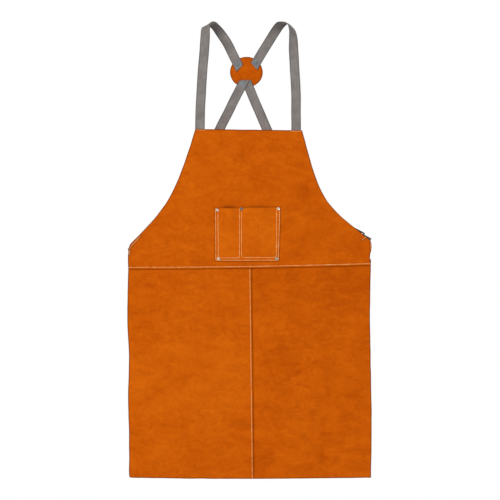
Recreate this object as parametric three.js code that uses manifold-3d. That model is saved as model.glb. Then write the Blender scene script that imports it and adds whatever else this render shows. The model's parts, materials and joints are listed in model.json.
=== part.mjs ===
// Split-leather welding apron with crossed webbing straps, as it hangs by its two shoulder loops.
// Millimetres. +Z is up, the front faces -Y and +X is to the right for someone who faces the front.
// The origin is midway between the shoulder loops, at the height where they rest on what holds them.
import * as THREE from 'three';
import { mergeVertices } from 'three/addons/utils/BufferGeometryUtils.js';
import Module from 'manifold-3d';

const wasm = await Module();
wasm.setup();

// ---------------------------------------------------------------- driving dimensions

const gap = 0.3; // left between pieces that touch
const hide = 2; // thickness of the leather panels
const pocketHide = 1.6; // thickness of the pocket's leather
const webbing = { width: 25, thickness: 1.6 };
const thread = { width: 1, height: 0.4 };

// the shoulder loops are this deep, from the front run of a strap to its back run
const loopDepth = 60;

// the bib: its top corners, the ends of its armholes, its short sides and its lower edge;
// the left side bows out to one point, and the right one bows out, dips to a notch and runs on
const bib = {
  topLeft: [-142.5, -282.4],
  topRight: [136.8, -285.9],
  armholeEndLeft: [-315.1, -585.8],
  armholeEndRight: [316.4, -573.5],
  bowLeft: [-321, -606],
  bowRight: [322, -594],
  notchRight: [314, -610],
  belowNotchRight: [314, -622],
  lowerLeft: [-317.8, -649.5],
  lowerMiddle: [60, -646],
  lowerRight: [317, -639.5],
};

// an armhole leaves the top corner at one angle from the vertical and reaches the side at another,
// and the reach says how long the curve keeps close to each
const armhole = {
  left: { topAngle: 17, topReach: 200, sideAngle: 44, sideReach: 140 },
  right: { topAngle: 15.2, topReach: 190, sideAngle: 52.6, sideReach: 165 },
};

// the skirt: its hem, the hidden lap under the bib, the lap at the centre seam, and its cut sides,
// which are not quite straight: points from the hem up to the hidden top edge
const skirt = {
  hem: -1194.5,
  hemSag: 3,
  halfWidth: 317,
  cornerCut: 6,
  waistLap: 16,
  centreLap: 16,
  lapEdgeTop: 4.5,
  lapEdgeHem: 11,
  joggle: 6,
  leftSide: [[-316, -1080], [-318.5, -985], [-316, -880], [-320.5, -775]],
  leftTop: -317.5,
  rightSide: [[319, -1020], [316.5, -880], [314.5, -770]],
  rightTop: 317,
};

// the pocket's corners, how far its open mouth stands off the bib, and its sewn rows
const pocket = {
  topLeft: [-92.4, -488.7],
  topRight: [80.8, -486.1],
  lowerRight: [76.9, -628.2],
  lowerLeft: [-91.2, -628.2],
  mouthDepth: 8,
  outerRow: 2.4,
  innerRow: 9,
  dividerLeft: -26.9,
  dividerRight: -21.6,
  rightRowTop: 70.3,
  rightRowFoot: 69.4,
};

// where each pocket rivet sits
const rivetPlaces = {
  top_left: [-84.9, -494.2],
  top_middle: [-21.6, -491.4],
  top_right: [75, -490.8],
  bottom_left: [-81.8, -621.6],
  bottom_right: [70.3, -621.4],
};
const rivet = {
  headRadius: 4.2,
  headHeight: 1.5,
  bossRadius: 2.1,
  stemRadius: 1.1,
  holeRadius: 1.5,
  backRadius: 4,
  backHeight: 1,
};

// the patch is cut a little wider than it is tall
const patch = { centre: [-9, -132.3], halfWidth: 43, halfHeight: 40.2 };

// side-release buckle for 25 mm webbing; lengths run from the socket's outer end towards the plug
const buckle = {
  socketLength: 34,
  halfWidth: 17,
  halfThickness: 5,
  corner: 3,
  wall: 1.8,
  sideWall: 2.8,
  windowStart: 15,
  windowEnd: 28,
  slotHalfWidth: 13.3,
  slotLength: 5,
  slotWall: 2,
  barHalf: 1.45,
  railHalf: 3.2,
  foldRadius: 3.2,
  plugLength: 23.7,
  shoulder: 6,
  shoulderHalf: 4.2,
  outerBarLength: 4,
  outerBarHalf: 1.8,
  armHalf: 2.4,
  guideStart: 12,
  guideHalf: 2,
};
// one arm of the plug, as [distance from the socket's outer end, distance from the axis]
const arm = [[27, 12.8], [25.5, 13.8], [17, 13.4], [12.5, 10.4], [13, 9.2], [18, 9.2]];
const armRoot = [8.5, 12.4];
// a cut that starts outside a piece starts this far out
const clear = 1;

// where each socket starts, and how far its axis is turned up from the horizontal, inwards
const sides = {
  left: { sign: 1, start: [-289, -598], angle: 20, tabLength: 28 },
  right: { sign: -1, start: [293.8, -569.8], angle: 28, tabLength: 21 },
};

// ---------------------------------------------------------------- planes worked out from them

const frontRun = -loopDepth / 2;
const backRun = loopDepth / 2;
const bibBack = frontRun - webbing.thickness / 2 - gap;
const bibFront = bibBack - hide;
const skirtFront = bibBack + gap;
const lapFront = skirtFront + hide + gap;
const pocketBack = bibFront - gap;
const pocketFront = pocketBack - pocketHide;
const patchFront = backRun + webbing.thickness / 2 + gap;
const buckleMiddle = bibBack + buckle.halfThickness + gap;
const outwards = new THREE.Vector3(0, -1, 0);

// ---------------------------------------------------------------- materials

const leatherMaterial = new THREE.MeshStandardMaterial({ color: 0xc85a08, roughness: 0.9, metalness: 0 });
const pocketMaterial = new THREE.MeshStandardMaterial({ color: 0xd0640c, roughness: 0.9, metalness: 0 });
const webbingMaterial = new THREE.MeshStandardMaterial({ color: 0x857e7a, roughness: 0.85, metalness: 0 });
const threadMaterial = new THREE.MeshStandardMaterial({ color: 0xe8dccb, roughness: 0.7, metalness: 0 });
const plasticMaterial = new THREE.MeshStandardMaterial({ color: 0x161616, roughness: 0.45, metalness: 0 });
const nickelMaterial = new THREE.MeshStandardMaterial({ color: 0xc9c6c0, roughness: 0.3, metalness: 1 });

const apron = new THREE.Group();

function add(name, geometry, material, parent = apron) {
  const mesh = new THREE.Mesh(geometry, material);
  mesh.name = name;
  parent.add(mesh);
  return mesh;
}

// ---------------------------------------------------------------- shape helpers

function radians(degrees) {
  return THREE.MathUtils.degToRad(degrees);
}

// the outline's x and y become X and Z, and the plate runs back from the front plane
function plate(outline, front, thickness, curveSegments = 12) {
  const geometry = new THREE.ExtrudeGeometry(outline, {
    depth: thickness,
    bevelEnabled: false,
    curveSegments,
  });
  geometry.rotateX(Math.PI / 2);
  geometry.translate(0, front + thickness, 0);
  return geometry;
}

function closedSolid(positions, index) {
  const geometry = new THREE.BufferGeometry();
  geometry.setAttribute('position', new THREE.Float32BufferAttribute(positions, 3));
  geometry.setIndex(index);
  return geometry;
}

// a plate on a grid: frontPoint(across, up) gives its front face, across and up running from 0 to 1
function gridPlate(across, up, frontPoint, thickness) {
  const positions = [];
  for (const depth of [0, thickness]) {
    for (const v of up) {
      for (const u of across) {
        const point = frontPoint(u, v);
        positions.push(point.x, point.y + depth, point.z);
      }
    }
  }
  const columns = across.length;
  const rows = up.length;
  const back = columns * rows;
  const at = (i, j) => j * columns + i;
  const index = [];
  const quad = (a, b, c, d) => index.push(a, b, c, a, c, d);
  for (let j = 0; j < rows - 1; j += 1) {
    for (let i = 0; i < columns - 1; i += 1) {
      quad(at(i, j), at(i + 1, j), at(i + 1, j + 1), at(i, j + 1));
      quad(back + at(i, j), back + at(i, j + 1), back + at(i + 1, j + 1), back + at(i + 1, j));
    }
    quad(at(0, j), at(0, j + 1), back + at(0, j + 1), back + at(0, j));
    const last = columns - 1;
    quad(at(last, j + 1), at(last, j), back + at(last, j), back + at(last, j + 1));
  }
  for (let i = 0; i < columns - 1; i += 1) {
    const top = rows - 1;
    quad(at(i, 0), back + at(i, 0), back + at(i + 1, 0), at(i + 1, 0));
    quad(at(i, top), at(i + 1, top), back + at(i + 1, top), back + at(i, top));
  }
  return closedSolid(positions, index);
}

function steps(count) {
  return Array.from({ length: count + 1 }, (_, i) => i / count);
}

// a band of even width and thickness along frames that hold a point and the width's direction
function band(frames, width, thickness) {
  const positions = [];
  frames.forEach(({ point, across }, k) => {
    const before = frames[Math.max(k - 1, 0)].point;
    const after = frames[Math.min(k + 1, frames.length - 1)].point;
    const along = after.clone().sub(before).normalize();
    const side = across.clone().addScaledVector(along, -across.dot(along)).normalize();
    const face = side.clone().cross(along);
    for (const [s, f] of [[1, 1], [-1, 1], [-1, -1], [1, -1]]) {
      const corner = point.clone()
        .addScaledVector(side, (s * width) / 2)
        .addScaledVector(face, (f * thickness) / 2);
      positions.push(corner.x, corner.y, corner.z);
    }
  });
  const index = [0, 1, 2, 0, 2, 3];
  for (let k = 0; k < frames.length - 1; k += 1) {
    for (let c = 0; c < 4; c += 1) {
      const a = 4 * k + c;
      const b = 4 * k + ((c + 1) % 4);
      index.push(a, a + 4, b + 4, a, b + 4, b);
    }
  }
  const end = 4 * (frames.length - 1);
  index.push(end, end + 2, end + 1, end, end + 3, end + 2);
  return closedSolid(positions, index);
}

// frames along a smooth curve through stations, each a point and the direction its outer face looks in
function framesThrough(stations, perSpan = 4) {
  const route = new THREE.CatmullRomCurve3(stations.map((s) => new THREE.Vector3(...s.at)));
  const looks = new THREE.CatmullRomCurve3(stations.map((s) => new THREE.Vector3(...s.face)));
  return steps((stations.length - 1) * perSpan).map((t) => ({
    point: route.getPoint(t),
    across: route.getTangent(t).cross(looks.getPoint(t)).normalize(),
  }));
}

// a flat row of thread on a plane that faces the front, through [x, z] points
function threadRow(points, plane) {
  const row = points.map(([x, z]) => new THREE.Vector3(x, plane - gap - thread.height / 2, z));
  const frames = row.map((point, k) => {
    const along = row[Math.min(k + 1, row.length - 1)].clone().sub(row[Math.max(k - 1, 0)]);
    return { point, across: along.cross(outwards).normalize() };
  });
  return band(frames, thread.width, thread.height);
}

// points of a rounded corner between two straight runs, turning at a corner point
function roundCorner([fromX, fromZ], [cornerX, cornerZ], [toX, toZ], radius) {
  const start = new THREE.Vector2(fromX - cornerX, fromZ - cornerZ).setLength(radius);
  const end = new THREE.Vector2(toX - cornerX, toZ - cornerZ).setLength(radius);
  const corner = new THREE.Vector2(cornerX, cornerZ);
  const curve = new THREE.QuadraticBezierCurve(corner.clone().add(start), corner, corner.clone().add(end));
  return curve.getPoints(5).map((p) => [p.x, p.y]);
}

// a U-shaped row with round lower corners
function uRow([topLeft, lowerLeft, lowerRight, topRight], radius) {
  return [
    topLeft,
    ...roundCorner(topLeft, lowerLeft, lowerRight, radius),
    ...roundCorner(lowerLeft, lowerRight, topRight, radius),
    topRight,
  ];
}

function toManifold(geometry) {
  const bare = geometry.clone();
  bare.deleteAttribute('normal');
  bare.deleteAttribute('uv');
  const merged = mergeVertices(bare);
  return new wasm.Manifold(new wasm.Mesh({
    numProp: 3,
    vertProperties: new Float32Array(merged.attributes.position.array),
    triVerts: new Uint32Array(merged.index.array),
  }));
}

function fromManifold(solid) {
  const mesh = solid.getMesh();
  return closedSolid(Array.from(mesh.vertProperties), Array.from(mesh.triVerts));
}

function box(x0, x1, y0, y1, z0, z1) {
  const geometry = new THREE.BoxGeometry(x1 - x0, y1 - y0, z1 - z0);
  geometry.translate((x0 + x1) / 2, (y0 + y1) / 2, (z0 + z1) / 2);
  return toManifold(geometry);
}

function rivetHoles(front, back) {
  return Object.values(rivetPlaces).map(([x, z]) => {
    const hole = new THREE.CylinderGeometry(rivet.holeRadius, rivet.holeRadius, back - front + 4, 12);
    hole.translate(x, (front + back) / 2, z);
    return toManifold(hole);
  });
}

// ---------------------------------------------------------------- leather panels

// height of the bib's lower edge at x, a gentle curve that rises to the right
function bibLowerEdge(x) {
  const [x0, z0] = bib.lowerLeft;
  const [x1, z1] = bib.lowerMiddle;
  const [x2, z2] = bib.lowerRight;
  const fromLeft = (z0 * (x - x1) * (x - x2)) / ((x0 - x1) * (x0 - x2));
  const fromMiddle = (z1 * (x - x0) * (x - x2)) / ((x1 - x0) * (x1 - x2));
  const fromRight = (z2 * (x - x0) * (x - x1)) / ((x2 - x0) * (x2 - x1));
  return fromLeft + fromMiddle + fromRight;
}

// the two handles of an armhole's curve, as [x, z]; side is -1 on the left and 1 on the right
function armholeHandles(curve, top, end, side) {
  const first = radians(curve.topAngle);
  const last = radians(curve.sideAngle);
  return [
    [top[0] + side * curve.topReach * Math.sin(first), top[1] - curve.topReach * Math.cos(first)],
    [end[0] - side * curve.sideReach * Math.sin(last), end[1] + curve.sideReach * Math.cos(last)],
  ];
}

function bibOutline() {
  const outline = new THREE.Shape();
  const [rightFirst, rightSecond] = armholeHandles(armhole.right, bib.topRight, bib.armholeEndRight, 1);
  const [leftFirst, leftSecond] = armholeHandles(armhole.left, bib.topLeft, bib.armholeEndLeft, -1);
  outline.moveTo(...bib.topLeft);
  outline.lineTo(...bib.topRight);
  outline.bezierCurveTo(...rightFirst, ...rightSecond, ...bib.armholeEndRight);
  outline.quadraticCurveTo(...bib.bowRight, ...bib.notchRight);
  outline.quadraticCurveTo(...bib.belowNotchRight, ...bib.lowerRight);
  for (const t of steps(5).slice(1)) {
    const x = THREE.MathUtils.lerp(bib.lowerRight[0], bib.lowerLeft[0], t);
    outline.lineTo(x, bibLowerEdge(x));
  }
  outline.quadraticCurveTo(...bib.bowLeft, ...bib.armholeEndLeft);
  outline.bezierCurveTo(...leftSecond, ...leftFirst, ...bib.topLeft);
  return outline;
}

function makeBib() {
  let solid = toManifold(plate(bibOutline(), bibFront, hide, 16));
  for (const hole of rivetHoles(bibFront, bibBack)) {
    solid = solid.subtract(hole);
  }
  add('bib_panel', fromManifold(solid), leatherMaterial);
}

function skirtHem(x) {
  return skirt.hem - skirt.hemSag * (1 - (x / skirt.halfWidth) ** 2);
}

function skirtTop(x) {
  return bibLowerEdge(x) + skirt.waistLap;
}

function makeSkirtLeft() {
  const outline = new THREE.Shape();
  const side = skirt.leftSide[0][0];
  const corner = side + skirt.cornerCut;
  outline.moveTo(skirt.leftTop, skirtTop(skirt.leftTop));
  outline.lineTo(skirt.lapEdgeTop, skirtTop(skirt.lapEdgeTop));
  outline.lineTo(skirt.lapEdgeHem, skirtHem(skirt.lapEdgeHem));
  outline.lineTo(corner / 2, skirtHem(corner / 2));
  outline.lineTo(corner, skirtHem(corner));
  outline.quadraticCurveTo(side, skirtHem(corner), side, skirtHem(corner) + skirt.cornerCut);
  const cut = [...skirt.leftSide, [skirt.leftTop, skirtTop(skirt.leftTop)]];
  outline.splineThru(cut.map(([x, z]) => new THREE.Vector2(x, z)));
  add('skirt_panel_left', plate(outline, skirtFront, hide, 4), leatherMaterial);
}

// the right panel steps back behind the left one where they are lapped at the centre seam
function makeSkirtRight() {
  const cut = [
    [skirt.halfWidth, skirtHem(skirt.halfWidth)],
    ...skirt.rightSide,
    [skirt.rightTop, skirtTop(skirt.rightTop)],
  ];
  const side = new THREE.CatmullRomCurve3(cut.map(([x, z]) => new THREE.Vector3(x, 0, z)));
  const frontPoint = (u, v) => {
    const edge = THREE.MathUtils.lerp(skirt.lapEdgeHem, skirt.lapEdgeTop, v);
    const right = side.getPoint(v).x;
    // column 0 is the hidden edge, 1 the foot of the step, 2 its top, and the rest run on to the side
    const shares = [edge - skirt.centreLap, edge + 1, edge + 1 + skirt.joggle, right];
    const x = u < 3 ? shares[u] : right;
    const y = u < 2 ? lapFront : skirtFront;
    const z = THREE.MathUtils.lerp(skirtHem(x), skirtTop(x), v);
    return { x, y, z };
  };
  add('skirt_panel_right', gridPlate([0, 1, 2, 3], steps(12), frontPoint, hide), leatherMaterial);
}

// ---------------------------------------------------------------- pocket

// how far the pocket stands off the bib at x and at a height share, 0 at the bottom and 1 at the mouth
function pocketBulge(x, height) {
  const rows = [
    [pocket.lowerLeft[0] + pocket.innerRow, pocket.dividerLeft],
    [pocket.dividerRight, pocket.rightRowFoot],
  ];
  const room = rows.find(([low, high]) => x > low && x < high);
  if (!room) {
    return 0;
  }
  const share = (x - room[0]) / (room[1] - room[0]);
  const rise = THREE.MathUtils.smoothstep(height, 0.08, 1);
  return pocket.mouthDepth * Math.sin(Math.PI * share) ** 2 * rise;
}

function pocketPoint(u, v) {
  const left = THREE.MathUtils.lerp(pocket.lowerLeft[0], pocket.topLeft[0], v);
  const right = THREE.MathUtils.lerp(pocket.lowerRight[0], pocket.topRight[0], v);
  const top = THREE.MathUtils.lerp(pocket.topLeft[1], pocket.topRight[1], u);
  const x = THREE.MathUtils.lerp(left, right, u);
  const z = THREE.MathUtils.lerp(pocket.lowerLeft[1], top, v);
  return { x, y: pocketFront - pocketBulge(x, v), z };
}

function makePocket() {
  let solid = toManifold(gridPlate(steps(34), steps(8), pocketPoint, pocketHide));
  for (const hole of rivetHoles(pocketFront, pocketBack)) {
    solid = solid.subtract(hole);
  }
  add('chest_pocket', fromManifold(solid), pocketMaterial);
}

// ---------------------------------------------------------------- rivets

// a lathe profile of [radius, distance towards the front], turned so that its axis runs front to back
function turned(profile, [x, z], plane) {
  const points = profile.map(([r, d]) => new THREE.Vector2(r, -d));
  const geometry = new THREE.LatheGeometry(points.reverse(), 14);
  geometry.translate(x, plane, z);
  return geometry;
}

// the front cap: a domed head on a short hollow boss that takes the end of the post
function rivetCap(place) {
  const underside = gap + thread.height + gap;
  const socket = rivet.stemRadius + gap;
  return turned([
    [socket, gap],
    [rivet.bossRadius, gap],
    [rivet.bossRadius, underside],
    [rivet.headRadius, underside],
    [rivet.headRadius, underside + 0.35],
    [rivet.headRadius * 0.8, underside + 0.8 * rivet.headHeight],
    [rivet.headRadius * 0.45, underside + 0.97 * rivet.headHeight],
    [0, underside + rivet.headHeight],
    [0, underside + 0.3],
    [socket, underside + 0.3],
    [socket, gap],
  ], place, pocketFront);
}

// the back half: a low domed head behind the bib, with the post that goes through both layers
function rivetPost(place) {
  const headBack = bibBack + gap + rivet.backHeight;
  const tip = headBack - pocketFront + gap;
  return turned([
    [0, 0],
    [rivet.backRadius * 0.6, 0.1],
    [rivet.backRadius, rivet.backHeight * 0.6],
    [rivet.backRadius, rivet.backHeight],
    [rivet.stemRadius, rivet.backHeight],
    [rivet.stemRadius, tip],
    [0, tip],
  ], place, headBack);
}

function makeRivets() {
  for (const [name, place] of Object.entries(rivetPlaces)) {
    add(`rivet_${name}_cap`, rivetCap(place), nickelMaterial);
    add(`rivet_${name}_post`, rivetPost(place), nickelMaterial);
  }
}

// ---------------------------------------------------------------- straps and patch

const facingFront = [0, -1, 0];
const facingBack = [0, 1, 0];

// from behind the bib's top edge, up the front, over the shoulder and down to the patch
const shoulderRoutes = {
  left: [
    { at: [-131, frontRun, -298], face: facingFront },
    { at: [-129.6, frontRun, -240], face: facingFront },
    { at: [-127, frontRun, -185], face: facingFront },
    { at: [-123, frontRun, -122], face: facingFront },
    { at: [-118.8, frontRun + 1, -74], face: facingFront },
    { at: [-116.8, frontRun + 4, -42], face: [-0.15, -0.97, 0.1] },
    { at: [-115, -18, -17], face: [-0.45, -0.75, 0.5] },
    { at: [-108.5, -6, -7.5], face: [-0.55, 0, 0.83] },
    { at: [-99, 6, -7], face: [-0.25, 0.4, 0.85] },
    { at: [-88, 16, -16], face: [0.1, 0.7, 0.65] },
    { at: [-76.5, 22, -31], face: [0.1, 0.93, 0.3] },
    { at: [-60.3, 27, -55], face: facingBack },
    { at: [-43.5, backRun, -88], face: facingBack },
    { at: [-26.4, backRun, -121.5], face: facingBack },
  ],
  right: [
    { at: [121, frontRun, -301], face: facingFront },
    { at: [121, frontRun, -240], face: facingFront },
    { at: [120.6, frontRun, -185], face: facingFront },
    { at: [117, frontRun, -122], face: facingFront },
    { at: [114.5, frontRun + 1, -75], face: [0.15, -0.98, 0] },
    { at: [113.8, frontRun + 4, -47], face: [0.45, -0.88, 0.05] },
    { at: [111, -19, -23], face: [0.7, -0.6, 0.25] },
    { at: [102.5, -9, -8.5], face: [0.6, -0.1, 0.75] },
    { at: [91.5, 4, -3.5], face: [0.1, 0.2, 0.95] },
    { at: [80.5, 14, -8.5], face: [0, 0.75, 0.6] },
    { at: [71.5, 20.5, -19], face: [0, 0.95, 0.25] },
    { at: [58.3, 26, -39], face: facingBack },
    { at: [35, backRun, -77], face: facingBack },
    { at: [11, backRun, -117], face: facingBack },
  ],
};

// a point in a buckle's own frame (along its axis, thickness towards the back, width) as a world point
function fromBuckle(side, along, back, across) {
  const { sign, start, angle } = sides[side];
  const axis = new THREE.Vector3(sign * Math.cos(radians(angle)), 0, Math.sin(radians(angle)));
  const width = axis.clone().cross(new THREE.Vector3(0, 1, 0));
  return new THREE.Vector3(start[0], buckleMiddle + back, start[1])
    .addScaledVector(axis, along)
    .addScaledVector(width, across);
}

function buckleWidthDirection(side) {
  return fromBuckle(side, 0, 0, 1).sub(fromBuckle(side, 0, 0, 0));
}

// half a turn of webbing round a bar, from its front side to its back side
function foldRound(centre, towards) {
  return steps(8).map((t) => {
    const turn = Math.PI * (t - 0.5);
    return [centre + towards * buckle.foldRadius * Math.cos(turn), buckle.foldRadius * Math.sin(turn)];
  });
}

const middleBar = buckle.socketLength + gap + buckle.shoulder + buckle.slotLength + buckle.barHalf;
const plugEnd = buckle.socketLength + gap + buckle.plugLength;

// the free part of each back strap, from the patch to where it lines up with its buckle
const backRoutes = {
  left: [
    { at: [-14.6, backRun - webbing.thickness - gap, -155], face: facingFront },
    { at: [-33.5, backRun - 2.5, -191], face: facingFront },
    { at: [-54, backRun - 6, -232.7], face: facingFront },
    { at: [-76, 16, -276], face: facingFront },
    { at: [-106, 2, -345], face: facingFront },
    { at: [-136, -12, -420], face: facingFront },
    { at: [-163, -22, -488], face: facingFront },
  ],
  right: [
    { at: [-10.4, backRun, -153], face: facingFront },
    { at: [5.6, backRun, -191], face: facingFront },
    { at: [23.5, backRun - 4, -232.7], face: facingFront },
    { at: [42, 16, -276], face: facingFront },
    { at: [74, 2, -345], face: facingFront },
    { at: [112, -12, -410], face: facingFront },
    { at: [155, -22, -462], face: facingFront },
  ],
};

// down to the buckle, round the plug's middle bar and back as a loose tail
function backStrapFrames(side) {
  const load = -buckle.foldRadius;
  const tail = buckle.foldRadius;
  const joining = [plugEnd + 26, plugEnd + 10].map((along) => ({
    at: fromBuckle(side, along, load, 0).toArray(),
    face: facingFront,
  }));
  const free = framesThrough([...backRoutes[side], ...joining]);
  const across = buckleWidthDirection(side);
  const threaded = [
    [plugEnd, load],
    ...foldRound(middleBar, -1),
    [plugEnd, tail],
    [plugEnd + 22, tail],
    [plugEnd + 45, tail + 2.5],
  ].map(([along, back]) => ({ point: fromBuckle(side, along, back, 0), across }));
  return [...free, ...threaded];
}

// a folded length of webbing: two layers sewn behind the bib's corner, looped round the socket's bar
function sideTabFrames(side) {
  const end = -sides[side].tabLength;
  const front = -buckle.halfThickness + webbing.thickness / 2;
  const back = front + webbing.thickness + gap;
  const across = buckleWidthDirection(side);
  return [
    [end, front],
    [-9, front],
    [-4, front + 0.4],
    ...foldRound(buckle.barHalf, 1),
    [-4, buckle.foldRadius - 1.2],
    [-9, back + 1.6],
    [-14, back],
    [end, back],
  ].map(([along, depth]) => ({ point: fromBuckle(side, along, depth, 0), across }));
}

function makeStraps() {
  for (const side of ['left', 'right']) {
    const shoulder = framesThrough(shoulderRoutes[side]);
    add(`shoulder_strap_${side}`, band(shoulder, webbing.width, webbing.thickness), webbingMaterial);
    add(`back_strap_${side}`, band(backStrapFrames(side), webbing.width, webbing.thickness), webbingMaterial);
    add(`side_tab_${side}`, band(sideTabFrames(side), webbing.width, webbing.thickness), webbingMaterial);
  }
}

function makePatch() {
  const outline = new THREE.Shape();
  outline.absellipse(...patch.centre, patch.halfWidth, patch.halfHeight, 0, 2 * Math.PI);
  add('back_patch', plate(outline, patchFront, hide, 48), leatherMaterial);
}

// ---------------------------------------------------------------- buckles

function roundedRectangle(x0, x1, halfWidth, radius) {
  const outline = new THREE.Shape();
  outline.moveTo(x0 + radius, -halfWidth);
  outline.lineTo(x1 - radius, -halfWidth);
  outline.absarc(x1 - radius, -halfWidth + radius, radius, -Math.PI / 2, 0);
  outline.lineTo(x1, halfWidth - radius);
  outline.absarc(x1 - radius, halfWidth - radius, radius, 0, Math.PI / 2);
  outline.lineTo(x0 + radius, halfWidth);
  outline.absarc(x0 + radius, halfWidth - radius, radius, Math.PI / 2, Math.PI);
  outline.lineTo(x0, -halfWidth + radius);
  outline.absarc(x0 + radius, -halfWidth + radius, radius, Math.PI, 1.5 * Math.PI);
  return outline;
}

// the lower and upper end of a stretch from one distance to a further one, on either side of the axis
function span(sign, near, far) {
  return sign > 0 ? [near, far] : [-far, -near];
}

function slab(outline, halfThickness) {
  return toManifold(plate(outline, -halfThickness, 2 * halfThickness, 4));
}

// the socket: a flat shell, open at its mouth and at two side windows, with a bar for the tab
function socketGeometry() {
  const length = buckle.socketLength;
  const half = buckle.halfWidth;
  const thick = buckle.halfThickness;
  const barEnd = 2 * buckle.barHalf;
  const slotEnd = barEnd + buckle.slotLength;
  const inside = thick - buckle.wall;
  const insideWidth = half - buckle.sideWall;
  const slot = buckle.slotHalfWidth;
  const { windowStart, windowEnd } = buckle;
  let solid = slab(roundedRectangle(0, length, half, buckle.corner), thick);
  const cavityStart = slotEnd + buckle.slotWall;
  solid = solid.subtract(box(cavityStart, length + clear, -inside, inside, -insideWidth, insideWidth));
  for (const sign of [-1, 1]) {
    const [windowLow, windowHigh] = span(sign, insideWidth - clear, half + clear);
    solid = solid.subtract(box(windowStart, windowEnd, -inside, inside, windowLow, windowHigh));
    // the end that carries the bar is thinner than the shell, and the bar thinner still
    const [railLow, railHigh] = span(sign, buckle.railHalf, thick + clear);
    solid = solid.subtract(box(-clear, slotEnd, railLow, railHigh, -half - clear, half + clear));
    const [barLow, barHigh] = span(sign, buckle.barHalf, thick + clear);
    solid = solid.subtract(box(-clear, slotEnd, barLow, barHigh, -slot, slot));
  }
  return solid.subtract(box(barEnd, slotEnd, -thick, thick, -slot, slot));
}

// one of the plug's two arms, with the barb that shows in the socket's side window
function plugArm(sign, root) {
  const outline = new THREE.Shape();
  const [rootInner, rootOuter] = armRoot;
  outline.moveTo(root + clear, sign * rootInner);
  outline.lineTo(root + clear, sign * rootOuter);
  for (const [along, across] of arm) {
    outline.lineTo(along, sign * across);
  }
  return slab(outline, buckle.armHalf);
}

// the plug: a shoulder with two arms and a centre guide, and the two-slot adjuster frame
function plugGeometry() {
  const root = buckle.socketLength + gap;
  const half = buckle.halfWidth - 0.5;
  const rail = buckle.railHalf;
  const slot = buckle.slotHalfWidth;
  const slotStart = root + buckle.shoulder;
  const outerBar = plugEnd - buckle.outerBarLength;
  let solid = slab(roundedRectangle(root, plugEnd, half, buckle.corner), rail);
  solid = solid.subtract(box(slotStart, middleBar - buckle.barHalf, -rail, rail, -slot, slot));
  solid = solid.subtract(box(middleBar + buckle.barHalf, outerBar, -rail, rail, -slot, slot));
  for (const sign of [-1, 1]) {
    // the middle bar is thinner than the rails beside it, and the outer bar a little thicker than that
    const [middleLow, middleHigh] = span(sign, buckle.barHalf, rail + clear);
    solid = solid.subtract(box(slotStart, outerBar, middleLow, middleHigh, -slot, slot));
    const [outerLow, outerHigh] = span(sign, buckle.outerBarHalf, rail + clear);
    solid = solid.subtract(box(outerBar - clear, plugEnd + clear, outerLow, outerHigh, -slot, slot));
    solid = solid.add(plugArm(sign, root));
  }
  const shoulder = buckle.shoulderHalf;
  solid = solid.add(box(root, slotStart, -shoulder, shoulder, -half + clear, half - clear));
  const guide = buckle.guideHalf;
  return solid.add(box(buckle.guideStart, root + clear, -guide, guide, -guide, guide));
}

function makeBuckles() {
  for (const side of ['left', 'right']) {
    const { sign, start, angle } = sides[side];
    const group = new THREE.Group();
    group.position.set(start[0], buckleMiddle, start[1]);
    group.rotation.y = sign > 0 ? -radians(angle) : radians(angle) - Math.PI;
    apron.add(group);
    add(`buckle_socket_${side}`, fromManifold(socketGeometry()), plasticMaterial, group);
    add(`buckle_plug_${side}`, fromManifold(plugGeometry()), plasticMaterial, group);
  }
}

// ---------------------------------------------------------------- thread

// the lap seam's row follows the bib's lower edge, and the centre row follows the skirt's lap
function makeSeamThreads() {
  const aboveEdge = 5.3;
  const waist = steps(12).map((t) => {
    const x = THREE.MathUtils.lerp(-316, 315, t);
    return [x, bibLowerEdge(x) + aboveEdge];
  });
  add('waist_seam_thread', threadRow(waist, bibFront), threadMaterial);
  const fromLapEdge = 4.5;
  const centre = [
    [skirt.lapEdgeTop - fromLapEdge, bibLowerEdge(0) - 1.5],
    [skirt.lapEdgeHem - fromLapEdge, skirtHem(0) + 2],
  ];
  add('centre_seam_thread', threadRow(centre, skirtFront), threadMaterial);
}

// a row whose end would meet a rivet's stem starts below it, under the rivet's head
function makePocketThreads() {
  const belowRivet = 3.8;
  const top = pocket.topLeft[1] - 2;
  const outerFoot = pocket.lowerLeft[1] + 2.6;
  const innerFoot = pocket.lowerLeft[1] + 8.8;
  const { outerRow, innerRow, dividerLeft, dividerRight } = pocket;
  const outer = [
    [pocket.topLeft[0] + outerRow, top],
    [pocket.lowerLeft[0] + outerRow, outerFoot],
    [pocket.lowerRight[0] - outerRow, outerFoot],
    [pocket.topRight[0] - outerRow, rivetPlaces.top_right[1] - belowRivet],
  ];
  const left = [
    [pocket.topLeft[0] + innerRow, rivetPlaces.top_left[1] - belowRivet],
    [pocket.lowerLeft[0] + innerRow, innerFoot],
    [dividerLeft, innerFoot],
    [dividerLeft, top],
  ];
  const right = [
    [dividerRight, rivetPlaces.top_middle[1] - belowRivet],
    [dividerRight, innerFoot + 1],
    [pocket.rightRowFoot, innerFoot + 1],
    [pocket.rightRowTop, top + 2],
  ];
  add('pocket_outer_thread', threadRow(uRow(outer, 1.5), pocketFront), threadMaterial);
  add('pocket_left_thread', threadRow(uRow(left, 5), pocketFront), threadMaterial);
  add('pocket_right_thread', threadRow(uRow(right, 7), pocketFront), threadMaterial);
}

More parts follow.
